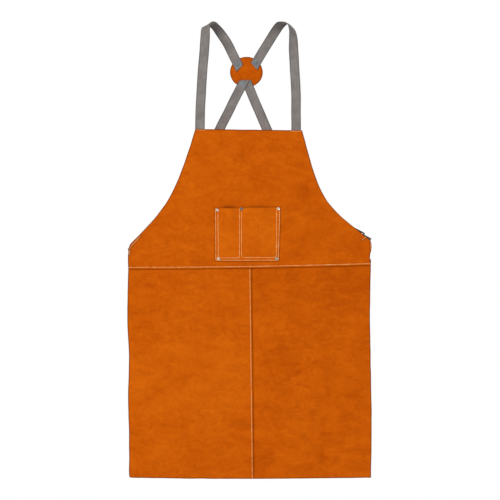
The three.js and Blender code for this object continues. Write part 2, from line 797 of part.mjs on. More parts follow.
// the rows at the bib's top and at its side corners hold what is sewn on behind
function makeBibTacks() {
  add('strap_tack_left', threadRow([[-140, -285], [-116.5, -285.3]], bibFront), threadMaterial);
  add('strap_tack_right', threadRow([[106, -287.8], [134.5, -288.2]], bibFront), threadMaterial);
  const leftCorner = [[-285.8, -561.5], [-311.5, -590.7], [-314.2, -598], [-314.6, -612]];
  add('corner_thread_left', threadRow(leftCorner, bibFront), threadMaterial);
  add('corner_thread_right_across', threadRow([[294, -572.5], [303.5, -564]], bibFront), threadMaterial);
  add('corner_thread_right_side', threadRow([[315.8, -580], [317, -598]], bibFront), threadMaterial);
}

// a sewn box with two diagonals, centred on [x, z] and turned to lie along its strap
function boxTack([x, z], turn, size, plane) {
  const half = size / 2;
  const inner = half - thread.width;
  const cut = thread.width * 0.7;
  const outline = new THREE.Shape();
  outline.moveTo(-half, -half);
  outline.lineTo(half, -half);
  outline.lineTo(half, half);
  outline.lineTo(-half, half);
  for (let k = 0; k < 4; k += 1) {
    const opening = new THREE.Path();
    const corners = [[cut - inner, -inner], [inner - cut, -inner], [0, -cut]];
    corners.forEach(([px, pz], n) => {
      const spun = new THREE.Vector2(px, pz).rotateAround(new THREE.Vector2(), (k * Math.PI) / 2);
      if (n === 0) {
        opening.moveTo(spun.x, spun.y);
      } else {
        opening.lineTo(spun.x, spun.y);
      }
    });
    outline.holes.push(opening);
  }
  const geometry = plate(outline, 0, thread.height);
  geometry.rotateY(radians(turn));
  geometry.translate(x, plane - gap - thread.height, z);
  return geometry;
}

function makePatchTacks() {
  const tackSize = 12;
  const strapFace = backRun - webbing.thickness / 2;
  const topStrapFace = strapFace - webbing.thickness - gap;
  add('patch_tack_shoulder_left', boxTack([-30.2, -114.5], -27, tackSize, strapFace), threadMaterial);
  add('patch_tack_shoulder_right', boxTack([15.4, -109.7], 31, tackSize, strapFace), threadMaterial);
  add('patch_tack_back', boxTack([-18.8, -163], 27, tackSize, topStrapFace), threadMaterial);
}

makeBib();
makeSkirtLeft();
makeSkirtRight();
makePocket();
makeRivets();
makeStraps();
makePatch();
makeBuckles();
makeSeamThreads();
makePocketThreads();
makeBibTacks();
makePatchTacks();

export default apron;
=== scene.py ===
"""Looks of a split-leather welding apron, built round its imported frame.

Metres. +Z is up and the apron's front faces -Y. Every place comes from the frame: outlines, sewn rows
and strap routes are read from its nodes, and the pieces here replace those nodes with finer ones.
"""

import json
import math
import random

import bmesh
import bpy
import numpy as np
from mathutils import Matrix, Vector, noise


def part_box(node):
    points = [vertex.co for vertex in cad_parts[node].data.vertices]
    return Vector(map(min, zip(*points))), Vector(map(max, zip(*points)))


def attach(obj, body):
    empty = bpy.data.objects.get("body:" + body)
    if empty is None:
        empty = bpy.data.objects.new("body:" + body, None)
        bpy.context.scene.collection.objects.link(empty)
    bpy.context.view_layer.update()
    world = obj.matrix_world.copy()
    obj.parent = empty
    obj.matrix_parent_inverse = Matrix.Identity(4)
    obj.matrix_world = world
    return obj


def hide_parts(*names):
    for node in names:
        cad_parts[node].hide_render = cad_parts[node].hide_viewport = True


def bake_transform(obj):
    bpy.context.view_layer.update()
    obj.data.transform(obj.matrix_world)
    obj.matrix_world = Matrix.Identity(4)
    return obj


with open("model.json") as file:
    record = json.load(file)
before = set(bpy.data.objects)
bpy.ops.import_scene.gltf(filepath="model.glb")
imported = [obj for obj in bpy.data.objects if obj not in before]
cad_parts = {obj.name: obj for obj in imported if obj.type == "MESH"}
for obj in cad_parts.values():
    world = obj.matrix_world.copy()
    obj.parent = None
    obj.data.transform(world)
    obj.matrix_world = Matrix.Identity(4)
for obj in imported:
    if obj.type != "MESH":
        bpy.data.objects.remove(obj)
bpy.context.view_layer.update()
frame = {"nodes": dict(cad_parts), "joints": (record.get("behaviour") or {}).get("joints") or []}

MM = 0.001
APRON = "apron"
SIDES = ("left", "right")

# ---------------------------------------------------------------- dimensions

STITCH_PITCH = 4.6 * MM
STITCH_GAP = 0.5 * MM
THREAD_RADIUS = 0.9 * MM
GROOVE_DEPTH = 0.45 * MM
GROOVE_REACH = 1.6 * MM
# how dark the painted shade in the groove under a sewn row is
GROOVE_PAINTED_SHADE = 0.12
LAP_EDGE_NARROWING = 1.15 * MM  # the darker brown line along a lapped edge, partly painted shadow at the step, is this much narrower
FOLD_DEPTH = 0.5 * MM
# the skirt's hanging folds: (strength, lean in m over the skirt's height, wavelength in m, phase)
HANGING_FOLDS = ((0.55, 0.05, 0.29, 0.6), (0.3, -0.03, 0.173, 2.1), (0.25, 0, 0.44, -0.8))
DENT_DEPTH = 0.32 * MM  # the hide's uneven surface only dips, so that laps keep their clearance
CUT_INSET = 0.45 * MM  # how far a cut edge is rounded
RIM_SHARES = (0.3, 0.7)  # a cut edge's two rows of points, as shares of the thickness
FINE = (0.9 * MM, 2.2 * MM, 4.2 * MM, 7 * MM)  # grid lines crowd at these distances from a cut edge
EDGE_FAR = 20 * MM  # distances from a cut edge are measured as far as this
ROW_SPREAD = (-2.6, -1.2, 0, 1.2, 2.6)  # grid lines on both sides of a sewn row, in mm
WEBBING_STEP = 2.5 * MM
WEBBING_RIBS = 9
# how dark the painted shade behind the shoulder loops' crests is
CREST_PAINTED_SHADE = 0.5
# how dark the painted shade on the side tabs is
TAB_PAINTED_SHADE = 0.6
RIVET_GREYING = 0.08
GREYER_RIVETS = {"top_middle": 0.85, "bottom_right": 0.5}  # the rivets coloured darker and greyer all over

# ---------------------------------------------------------------- what the frame says


def merged(node):
    """A CAD node's mesh with its shared corners joined."""
    mesh = bmesh.new()
    mesh.from_mesh(frame["nodes"][node].data)
    bmesh.ops.remove_doubles(mesh, verts=mesh.verts, dist=0.002 * MM)
    mesh.verts.ensure_lookup_table()
    return mesh


def front_outline(node):
    """The outer edge of a CAD plate's front face, as (x, z) points that run anticlockwise."""
    mesh = merged(node)
    front = min(v.co.y for v in mesh.verts)
    on_front = {f for f in mesh.faces if all(abs(v.co.y - front) < 0.02 * MM for v in f.verts)}
    following = {}
    for face in on_front:
        for loop in face.loops:
            if not any(other in on_front for other in loop.edge.link_faces if other is not face):
                following[loop.vert.index] = loop.link_loop_next.vert.index
    loops = []
    while following:
        start, at = following.popitem()
        loop = [start]
        while at != start:
            loop.append(at)
            at = following.pop(at)
        loops.append(np.array([[mesh.verts[i].co.x, mesh.verts[i].co.z] for i in loop]))
    mesh.free()
    outline = max(loops, key=lambda points: np.ptp(points[:, 0]))
    return outline if signed_area(outline) > 0 else outline[::-1]


def signed_area(loop):
    x, z = loop[:, 0], loop[:, 1]
    return 0.5 * float(np.sum(x * np.roll(z, -1) - np.roll(x, -1) * z))


def cross_sections(node, first):
    """The rings of a CAD band in order, from the end at which first(point) is larger: (n, 4, 3)."""
    mesh = merged(node)
    runs = [ring_run({v for face in edge.link_faces for v in face.verts}) for edge in mesh.edges]
    full = [run for run in runs if 4 * len(run) == len(mesh.verts)]
    best = max(full, key=lambda run: sum(first(v.co) for v in run[0]))
    rings = np.array([sorted(tuple(v.co) for v in ring) for ring in best])
    mesh.free()
    return rings


def ring_run(ring):
    """The rings of four points that follow one another from a first one, as far as they go."""
    run, seen = [], set()
    while len(ring) == 4:
        run.append(ring)
        seen |= ring
        ring = {edge.other_vert(v) for v in ring for edge in v.link_edges} - seen
    return run


def band_frames(node, first):
    """A band's centre line and the direction of its width along it, as two (n, 3) arrays."""
    rings = cross_sections(node, first)
    centres = rings.mean(axis=1)
    widths = []
    for ring, centre in zip(rings, centres):
        direction = np.linalg.svd(ring - centre)[2][0]
        if widths and np.dot(direction, widths[-1]) < 0:
            direction = -direction
        widths.append(direction)
    return centres, np.array(widths)


def sewn_route(node, first):
    """The (x, z) line of a sewn row."""
    centres, _ = band_frames(node, first)
    return centres[:, [0, 2]]


def corner(points, right, up):
    """The place in a loop that lies furthest towards a diagonal direction."""
    return int(np.argmax(points[:, 0] * right + points[:, 1] * up))


bib_low, bib_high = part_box("bib_panel")
skirt_low, skirt_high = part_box("skirt_panel_left")
pocket_low, pocket_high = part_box("chest_pocket")
patch_low, patch_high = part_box("back_patch")
HIDE = bib_high.y - bib_low.y
BIB_FRONT, BIB_BACK = bib_low.y, bib_high.y
SKIRT_FRONT, SKIRT_BACK = skirt_low.y, skirt_high.y
LAP_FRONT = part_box("skirt_panel_right")[1].y - HIDE
POCKET_BACK = pocket_high.y
POCKET_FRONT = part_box("pocket_outer_thread")[1].y + 0.3 * MM
POCKET_HIDE = POCKET_BACK - POCKET_FRONT
MOUTH_DEPTH = POCKET_FRONT - pocket_low.y
HEM = skirt_low.z
BIB_TOP = bib_high.z
BIB_FOOT = bib_low.z

# ---------------------------------------------------------------- curves and noise


def smoothstep(value, low, high):
    share = np.clip((value - low) / (high - low), 0, 1)
    return share * share * (3 - 2 * share)


def run_lengths(points):
    steps = np.linalg.norm(np.diff(points, axis=0), axis=1)
    return np.concatenate([[0], np.cumsum(steps)])


def at_lengths(points, lengths):
    along = run_lengths(points)
    return np.stack([np.interp(lengths, along, points[:, k]) for k in range(points.shape[1])], axis=1)


def evenly(points, step):
    total = run_lengths(points)[-1]
    return at_lengths(points, np.linspace(0, total, max(2, round(total / step) + 1)))


def flowing(points, per_span=6):
    """A smooth curve through points: uniform Catmull-Rom."""
    ends = np.vstack([2 * points[0] - points[1], points, 2 * points[-1] - points[-2]])
    out = []
    for k in range(1, len(ends) - 2):
        a, b, c, d = ends[k - 1 : k + 3]
        for t in np.arange(per_span) / per_span:
            out.append(0.5 * (2 * b + (c - a) * t + (2 * a - 5 * b + 4 * c - d) * t**2
                              + (3 * b - a - 3 * c + d) * t**3))
    return np.array(out + [points[-1]])


def wander(x, y, size, seed=0.0):
    """Smooth noise from -1 to 1 at every (x, y), with features about size across."""
    flat = zip(np.ravel(x) / size, np.ravel(y) / size)
    values = [noise.noise(Vector((a, b, seed))) for a, b in flat]
    return np.reshape(values, np.shape(x))


def cut_side(points, reach=4 * MM, wobble=0.5 * MM, seed=0.0):
    """A side cut by hand: the frame's polyline, smoothed over reach, and never quite true."""
    step = 1.5 * MM
    line = evenly(points, step)
    sigma = reach / step
    window = np.exp(-0.5 * (np.arange(-int(3 * sigma), int(3 * sigma) + 1) / sigma) ** 2)
    pad = len(window) // 2
    padded = np.vstack([2 * line[0] - line[pad:0:-1], line, 2 * line[-1] - line[-2 : -pad - 2 : -1]])
    smooth = np.stack([np.convolve(padded[:, k], window / window.sum(), "valid") for k in (0, 1)], axis=1)
    along = run_lengths(smooth)
    tangent = np.gradient(smooth, axis=0)
    normal = np.stack([tangent[:, 1], -tangent[:, 0]], axis=1)
    normal /= np.linalg.norm(normal, axis=1)[:, None]
    fade = np.minimum(1, np.minimum(along, along[-1] - along) / (15 * MM))
    uneven = wander(along, along * 0, 34 * MM, seed) + 0.4 * wander(along, along * 0, 9 * MM, seed)
    return smooth + normal * (wobble * fade * uneven)[:, None]


# ---------------------------------------------------------------- how the hide hangs


def hang(x, z):
    """How far the hanging leather stands back from its flat plane at (x, z); towards the front is below 0."""
    bow_depth, belly_depth, fold_depth = 3.4 * MM, 2 * MM, 4.6 * MM
    x, z = np.asarray(x, float), np.asarray(z, float)
    down = np.clip((BIB_TOP - z) / (BIB_TOP - BIB_FOOT), 0, 1)
    half_width = 0.14 + 0.18 * down**1.5
    across = np.clip(1 - (x / half_width) ** 2, 0, 1)
    bow = -bow_depth * across * np.sin(math.pi * down * 0.78) ** 2
    lower = np.clip((BIB_FOOT - z) / (BIB_FOOT - HEM), 0, 1)
    folds = sum(
        strength * np.sin(2 * math.pi * (x + lean * lower) / wavelength + phase)
        for strength, lean, wavelength, phase in HANGING_FOLDS
    )
    belly = -belly_depth * np.sin(math.pi * lower) * np.clip(1 - (x / 0.33) ** 2, 0, 1)
    return bow + belly + fold_depth * folds * lower**1.3


def hung_at(y):
    """The surface whose flat plane is at y, hanging as the leather hangs."""
    return lambda x, z: y + hang(x, z)


def fold_shading(x, z, folds):
    """Old folds in the hide, with painted light and shade: from -1 in a dip darkened by painted shade to 1 on
    a patch of painted light.

    Each fold is (start, end, half width, strength), with its ends as (x, z).
    """
    total = np.zeros(np.shape(x))
    for (ax, az), (bx, bz), half_width, strength in folds:
        long_x, long_z = bx - ax, bz - az
        share = np.clip(((x - ax) * long_x + (z - az) * long_z) / (long_x**2 + long_z**2), 0, 1)
        gap = np.hypot(x - ax - share * long_x, z - az - share * long_z)
        total = total + strength * np.exp(-((gap / half_width) ** 2))
    return np.clip(total, -1, 1)


def on_panel(low, high, folds):
    """Folds given as shares of a panel's width and height, and half widths in mm."""
    def place(share_x, share_z):
        return low.x + share_x * (high.x - low.x), low.z + share_z * (high.z - low.z)
    return [(place(*start), place(*end), half * MM, strength) for start, end, half, strength in folds]


def dents(x, z, seed):
    """The uneven surface of split hide: from 0 to DENT_DEPTH, into the leather."""
    broad = wander(x, z, 33 * MM, seed)
    middling = wander(x * 1.4, z, 12 * MM, seed + 7)
    fine = wander(x, z, 5 * MM, seed + 13)
    return DENT_DEPTH * np.clip(0.5 + 0.42 * broad + 0.26 * middling + 0.1 * fine, 0, 1)


# ---------------------------------------------------------------- colours and node helpers


def srgb(red, green, blue, alpha=1.0):
    """A colour from its 0 to 255 display values."""
    def linear(value):
        c = value / 255
        return c / 12.92 if c <= 0.04045 else ((c + 0.055) / 1.055) ** 2.4
    return (linear(red), linear(green), linear(blue), alpha)


class Nodes:
    """A material's node tree, with short calls for the nodes used here."""

    def __init__(self, name):
        self.material = bpy.data.materials.new(name)
        self.material.use_nodes = True
        self.tree = self.material.node_tree
        self.shader = self.tree.nodes["Principled BSDF"]

    def add(self, kind, **settings):
        node = self.tree.nodes.new(kind)
        for key, value in settings.items():
            setattr(node, key, value)
        return node

    def link(self, source, target):
        self.tree.links.new(source, target)

    def feed(self, node, values):
        """Each input gets a link if its value is a socket, and otherwise the value itself."""
        for key, value in values.items():
            if hasattr(value, "is_linked"):
                self.link(value, node.inputs[key])
            else:
                node.inputs[key].default_value = value

    def set(self, **values):
        """Constants on the shader's own sockets."""
        self.feed(self.shader, {key.replace("_", " "): value for key, value in values.items()})

    def place(self):
        return self.add("ShaderNodeTexCoord").outputs["Object"]

    def stretched(self, vector, scale):
        node = self.add("ShaderNodeMapping")
        self.feed(node, {"Vector": vector, "Scale": scale})
        return node.outputs["Vector"]

    def attribute(self, name, output="Fac"):
        return self.add("ShaderNodeAttribute", attribute_name=name).outputs[output]

    def noise(self, vector, scale, detail=2.0, rough=0.5, distortion=0.0):
        node = self.add("ShaderNodeTexNoise")
        self.feed(node, {"Vector": vector, "Scale": scale, "Detail": detail,
                         "Roughness": rough, "Distortion": distortion})
        return node.outputs["Fac"]

    def math(self, operation, a, b=0.0, c=0.0):
        node = self.add("ShaderNodeMath", operation=operation)
        self.feed(node, {0: a, 1: b, 2: c})
        return node.outputs[0]

    def range(self, value, low, high, to_low=0.0, to_high=1.0):
        node = self.add("ShaderNodeMapRange", interpolation_type="SMOOTHSTEP")
        self.feed(node, {"Value": value, "From Min": low, "From Max": high,
                         "To Min": to_low, "To Max": to_high})
        return node.outputs["Result"]

    def ramp(self, value, stops):
        node = self.add("ShaderNodeValToRGB")
        elements = node.color_ramp.elements
        while len(elements) < len(stops):
            elements.new(0.5)
        for element, (position, colour) in zip(elements, stops):
            element.position = position
            element.color = colour
        self.link(value, node.inputs["Fac"])
        return node.outputs["Color"]

    def mix(self, share, a, b, blend="MIX"):
        node = self.add("ShaderNodeMix", data_type="RGBA", blend_type=blend)
        self.feed(node, {"Factor": share, 6: a, 7: b})
        return node.outputs[2]

    def bump(self, height, distance, strength=1.0, below=None):
        node = self.add("ShaderNodeBump")
        self.feed(node, {"Strength": strength, "Distance": distance, "Height": height})
        if below is not None:
            self.link(below, node.inputs["Normal"])
        return node.outputs["Normal"]

    def finish(self, colour=None, roughness=None, normal=None):
        for key, value in (("Base Color", colour), ("Roughness", roughness), ("Normal", normal)):
            if value is not None:
                self.link(value, self.shader.inputs[key])
        return self.material


# ---------------------------------------------------------------- materials


def leather_material(name, dark, middle, light, edge_share, seed):
    """Split hide: matt, napped and mottled, browner along its cut edges, partly as painted shadow, and
    darkened by painted shade in its sewn grooves and above the pocket's mouth and by a darker strip at the
    bib's side corners.
    """
    n = Nodes(name)
    shifted = n.add("ShaderNodeMapping")
    n.feed(shifted, {"Vector": n.place(), "Location": (seed, seed * 2, -seed)})
    place = shifted.outputs["Vector"]
    clouds = n.noise(place, 9, 3, 0.5, 0.3)
    drags = n.noise(n.stretched(place, (0.55, 1, 1)), 34, 4, 0.6, 0.8)
    mottle = n.noise(n.stretched(place, (0.8, 1, 1)), 95, 5, 0.65, 0.5)
    fibres = n.noise(n.stretched(place, (1, 1, 0.35)), 520, 3, 0.6, 0.8)
    tone = n.math("MULTIPLY", clouds, 0.26)
    tone = n.math("ADD", tone, n.math("MULTIPLY", drags, 0.42))
    tone = n.math("ADD", tone, n.math("MULTIPLY", mottle, 0.32))
    # painted light and shade from the folds and broad patches
    tone = n.math("ADD", tone, n.math("MULTIPLY", n.attribute("shade"), 0.11))
    colour = n.ramp(tone, [(0.34, dark), (0.5, middle), (0.66, light)])
    colour = n.mix(n.range(fibres, 0.3, 0.7, 0.0, 0.2), colour, srgb(152, 58, 2))
    # creases: thin, faint and far apart, darkened by painted shade
    crease_field = n.noise(n.stretched(place, (0.8, 1, 1.5)), 24, 3, 0.5, 1.6)
    crease = n.math("ABSOLUTE", n.math("SUBTRACT", crease_field, 0.5))
    crease = n.range(crease, 0.0, 0.011, 1.0, 0.0)
    crease = n.math("MULTIPLY", crease, n.range(clouds, 0.42, 0.6))
    colour = n.mix(n.math("MULTIPLY", crease, 0.3), colour, srgb(128, 50, 4))
    # darker brown along the cut edges: partly the edge's own colour, partly painted shadow along the edges
    # and at the lapped steps
    edge = n.range(n.attribute("edge"), 1.5, 3.3, 1.0, 0.0)
    edge = n.math("MULTIPLY", edge, n.range(mottle, 0.3, 0.7, 0.7, 1.0))
    colour = n.mix(n.math("MULTIPLY", edge, edge_share), colour, srgb(104, 44, 4))
    # painted shade in the sewn grooves and above the pocket's mouth, and a darker strip at the bib's side
    # corners
    colour = n.mix(n.attribute("soil"), colour, srgb(78, 34, 10))
    roughness = n.range(mottle, 0.3, 0.75, 0.84, 0.98)
    pores = n.noise(place, 1500, 2, 0.6)
    lumps = n.noise(place, 210, 4, 0.6, 0.4)
    normal = n.bump(drags, 1.1 * MM, 0.5)
    normal = n.bump(lumps, 0.55 * MM, 0.55, normal)
    normal = n.bump(fibres, 0.35 * MM, 0.6, normal)
    normal = n.bump(pores, 0.12 * MM, 0.6, normal)
    normal = n.bump(n.math("SUBTRACT", 1.0, crease), 0.5 * MM, 0.6, normal)
    n.set(Sheen_Weight=0.02, Sheen_Roughness=0.45, Sheen_Tint=srgb(220, 110, 30), Specular_IOR_Level=0.02)
    return n.finish(colour, roughness, normal)


def webbing_material():
    """Grey webbing: ribs along it, picks across it, darker at the two edges."""
    n = Nodes("grey_webbing")
    weave = n.attribute("weave", "Vector")
    split = n.add("ShaderNodeSeparateXYZ")
    n.link(weave, split.inputs[0])
    across, along = split.outputs[0], split.outputs[1]
    pick_turns = 2 * math.pi / (1.5 * MM)
    warp_turns = 2 * math.pi / (1.9 * MM)
    row = n.math("SINE", n.math("MULTIPLY", along, pick_turns))
    warp = n.math("SINE", n.math("MULTIPLY", across, warp_turns))
    over = n.range(n.math("MULTIPLY", row, warp), -0.8, 0.8)
    picks = n.range(row, -1.0, 1.0)
    streaks = n.noise(n.stretched(weave, (900, 26, 1)), 1, 3, 0.6)
    patches = n.noise(n.place(), 38, 3, 0.5)
    tone = n.math("ADD", n.math("MULTIPLY", streaks, 0.55), n.math("MULTIPLY", patches, 0.45))
    greys = srgb(120, 114, 110), srgb(144, 137, 133), srgb(164, 157, 153)
    colour = n.ramp(tone, list(zip((0.34, 0.5, 0.66), greys)))
    colour = n.mix(n.range(over, 0.0, 1.0, 0.42, 0.0), colour, srgb(70, 66, 64))
    rim = n.range(n.math("ABSOLUTE", across), 8.8 * MM, 12.2 * MM, 0.0, 0.75)
    colour = n.mix(rim, colour, srgb(78, 74, 72))
    # painted shade behind the shoulder loops' crests and on the side tabs
    colour = n.mix(n.attribute("soil"), colour, srgb(46, 42, 40))
    normal = n.bump(over, 0.3 * MM, 0.8)
    normal = n.bump(picks, 0.18 * MM, 0.6, normal)
    normal = n.bump(n.noise(n.place(), 1900, 2, 0.6), 0.12 * MM, 0.5, normal)
    roughness = n.range(over, 0.0, 1.0, 0.9, 0.76)
    n.set(Sheen_Weight=0.12, Sheen_Roughness=0.5, Specular_IOR_Level=0.3)
    return n.finish(colour, roughness, normal)


def thread_material(name, worn, clean, bright):
    n = Nodes(name)
    place = n.place()
    twist = n.noise(place, 1300, 2, 0.5, 0.6)
    grime = n.noise(place, 90, 3, 0.6)
    colour = n.ramp(grime, [(0.3, worn), (0.55, clean), (0.75, bright)])
    colour = n.mix(n.range(twist, 0.45, 0.7, 0.0, 0.3), colour, worn)
    normal = n.bump(twist, 0.25 * MM, 0.8)
    n.set(Sheen_Weight=0.1, Specular_IOR_Level=0.35)
    return n.finish(colour, n.range(twist, 0.3, 0.7, 0.55, 0.75), normal)


def plastic_material():
    n = Nodes("moulded_plastic")
    place = n.place()
    grain = n.noise(place, 1600, 3, 0.6)
    wear = n.noise(place, 75, 4, 0.65)
    colour = n.ramp(wear, [(0.35, srgb(20, 20, 21)), (0.6, srgb(27, 27, 28)), (0.78, srgb(42, 41, 40))])
    normal = n.bump(grain, 0.1 * MM, 0.6)
    n.set(Specular_IOR_Level=0.45)
    return n.finish(colour, n.range(wear, 0.3, 0.75, 0.36, 0.58), normal)


def nickel_material():
    n = Nodes("nickel_plate")
    place = n.place()
    brushed = n.noise(n.stretched(place, (1, 1, 6)), 700, 3, 0.6)
    tarnish = n.noise(place, 260, 4, 0.65)
    silvers = srgb(186, 168, 146), srgb(232, 218, 200), srgb(245, 238, 226)
    colour = n.ramp(tarnish, list(zip((0.3, 0.55, 0.8), silvers)))
    # some rivets are coloured darker and greyer all over
    colour = n.mix(n.attribute("tarnish"), colour, srgb(96, 94, 92))
    normal = n.bump(brushed, 0.05 * MM, 0.5)
    n.set(Metallic=1.0)
    return n.finish(colour, n.range(tarnish, 0.3, 0.8, 0.42, 0.22), normal)


PANEL_LEATHER = leather_material(
    "split_leather", srgb(183, 78, 3), srgb(202, 92, 7), srgb(216, 104, 11), 0.85, 0.0
)
POCKET_LEATHER = leather_material(
    "pocket_leather", srgb(192, 85, 4), srgb(210, 99, 9), srgb(222, 111, 15), 0.4, 3.7
)
WEBBING = webbing_material()
THREAD = thread_material("waxed_thread", srgb(240, 140, 62), srgb(255, 190, 112), srgb(255, 218, 160))
DULL_THREAD = thread_material("dull_thread", srgb(104, 116, 124), srgb(136, 156, 168), srgb(160, 182, 194))
PLASTIC = plastic_material()
NICKEL = nickel_material()

# ---------------------------------------------------------------- mesh helpers


def add_object(name, data):
    obj = bpy.data.objects.new(name, data)
    bpy.context.scene.collection.objects.link(obj)
    return obj


def piece(name, points, faces, material, slot, **attributes):
    """A smooth mesh object with its material and with per-point attributes; its slot argument is not used."""
    mesh = bpy.data.meshes.new(name)
    mesh.from_pydata([tuple(p) for p in points], [], [tuple(int(i) for i in f) for f in faces])
    for key, values in attributes.items():
        values = np.asarray(values, np.float32)
        kind = "FLOAT_VECTOR" if values.ndim == 2 else "FLOAT"
        layer = mesh.attributes.new(key, kind, "POINT")
        layer.data.foreach_set("vector" if values.ndim == 2 else "value", values.ravel())
    mesh.materials.append(material)
    mesh.shade_smooth()
    obj = add_object(name, mesh)
    return obj


def tube_faces(rings, around, base=0):
    """The quads between one ring of points and the next."""
    faces = []
    for ring in range(rings - 1):
        for k in range(around):
            a = base + ring * around + k
            b = base + ring * around + (k + 1) % around
            faces.append((a, a + around, b + around, b))
    return faces


def end_faces(rings, around, base=0):
    """The two faces that close a tube, wound like its quads."""
    last = base + (rings - 1) * around
    return tuple(range(base, base + around)), tuple(range(last, last + around))[::-1]


def distance_to(points, line, most):
    """Distance from each (x, z) point to the nearest point of a finely spaced line, at most a limit."""
    out = np.full(len(points), most)
    at_once = 4000
    for k in range(0, len(points), at_once):
        part = points[k : k + at_once]
        gaps = np.linalg.norm(part[:, None, :] - line[None, :, :], axis=2)
        out[k : k + at_once] = np.minimum(most, gaps.min(axis=1))
    return out


def shares(length, step, marks=()):
    """Places along a side as shares of it: even steps, crowded at both ends and round the marks."""
    places = set(np.linspace(0, length, max(2, round(length / step) + 1))[1:-1])
    crowded = [*FINE] + [length - d for d in FINE]
    for mark in marks:
        crowded += [mark + d * MM for d in ROW_SPREAD]
    for place in crowded:
        places = {p for p in places if abs(p - place) > 0.45 * step}
    places |= set(crowded) | {CUT_INSET, length - CUT_INSET}
    return np.array(sorted(places)) / length


def between(sides, u, v):
    """The point at shares (u, v) of a four-sided patch: a Coons surface in the (x, z) plane."""
    def on(side, share):
        line = sides[side]
        return at_lengths(line, np.ravel(share) * run_lengths(line)[-1])
    u, v = np.ravel(u)[:, None], np.ravel(v)[:, None]
    left, right = on("left", v), on("right", v)
    bottom, top = on("bottom", u), on("top", u)
    corners = (
        (1 - u) * (1 - v) * sides["bottom"][0] + u * (1 - v) * sides["bottom"][-1]
        + (1 - u) * v * sides["top"][0] + u * v * sides["top"][-1]
    )
    return (1 - u) * left + u * right + (1 - v) * bottom + v * top - corners


def leather_panel(name, sides, front_of, thickness, step, material, slot,
                  rows=(), marks_across=(), marks_up=(), soil_of=None, folds=(), lapped=None, seed=0.0):
    """A cut panel of hide between four sides, with rounded cut edges and a groove under each sewn row.

    front_of(x, z) is its front face. The marks are distances from the left side and from the bottom
    side at which a sewn row runs. The lapped side lies on another panel, so the darker line along its cut
    edge is narrower.
    """
    width = (run_lengths(sides["bottom"])[-1] + run_lengths(sides["top"])[-1]) / 2
    height = (run_lengths(sides["left"])[-1] + run_lengths(sides["right"])[-1]) / 2
    u, v = shares(width, step, marks_across), shares(height, step, marks_up)
    columns, lines = len(u), len(v)
    grid_u, grid_v = np.meshgrid(u, v)
    flat = between(sides, grid_u, grid_v)
    index = np.arange(columns * lines).reshape(lines, columns)
    ring = np.concatenate([index[0, :-1], index[:-1, -1], index[-1, :0:-1], index[:0:-1, 0]])
    rim_u, rim_v = grid_u.ravel()[ring].copy(), grid_v.ravel()[ring].copy()
    for share, line in ((rim_u, u), (rim_v, v)):
        share[share == line[0]] = 0
        share[share == line[-1]] = 1
    rim = between(sides, rim_u, rim_v)
    edge = distance_to(flat, rim, EDGE_FAR)
    if lapped is not None:
        near_lap = distance_to(flat, evenly(sides[lapped], 1 * MM), EDGE_FAR) < FINE[-1]
        edge = edge + LAP_EDGE_NARROWING * near_lap
    groove = np.zeros(len(flat))
    for row in rows:
        gap = distance_to(flat, evenly(row, 1 * MM), 10 * MM)
        groove = np.maximum(groove, np.exp(-((gap / GROOVE_REACH) ** 2)))
    x, z = flat[:, 0], flat[:, 1]
    front = front_of(x, z)
    shade = fold_shading(x, z, folds)
    front_dent = dents(x, z, seed) + GROOVE_DEPTH * groove + FOLD_DEPTH * np.clip(-shade, 0, 1)
    back_dent = dents(x, z, seed + 31) + 0.5 * GROOVE_DEPTH * groove
    rim_front = front_of(rim[:, 0], rim[:, 1])
    points = np.vstack([
        np.stack([x, front + front_dent, z], axis=1),
        *(np.stack([rim[:, 0], rim_front + s * thickness, rim[:, 1]], axis=1) for s in RIM_SHARES),
        np.stack([x, front + thickness - back_dent, z], axis=1),
    ])
    size, around = len(flat), len(ring)
    a, b = index[:-1, :-1].ravel(), index[:-1, 1:].ravel()
    c, d = index[1:, 1:].ravel(), index[1:, :-1].ravel()
    first_rim = size + np.arange(around)
    second_rim = first_rim + around
    back = size + 2 * around
    faces = [np.stack([a, b, c, d], axis=1), np.stack([a, d, c, b], axis=1) + back]
    for near, far in ((ring, first_rim), (first_rim, second_rim), (second_rim, ring + back)):
        faces.append(np.stack([near, far, np.roll(far, -1), np.roll(near, -1)], axis=1))
    soil = np.zeros(size) if soil_of is None else soil_of(x, z)
    # painted shade in the grooves under the sewn rows, on both faces
    soil = np.maximum(soil, GROOVE_PAINTED_SHADE * groove)
    nothing = np.zeros(2 * around)
    return piece(
        name, points, np.vstack(faces), material, slot,
        edge=np.concatenate([edge, nothing, edge]) / MM,
        soil=np.concatenate([soil, nothing, GROOVE_PAINTED_SHADE * groove]),
        shade=np.concatenate([shade, nothing, 0 * shade]),
    )


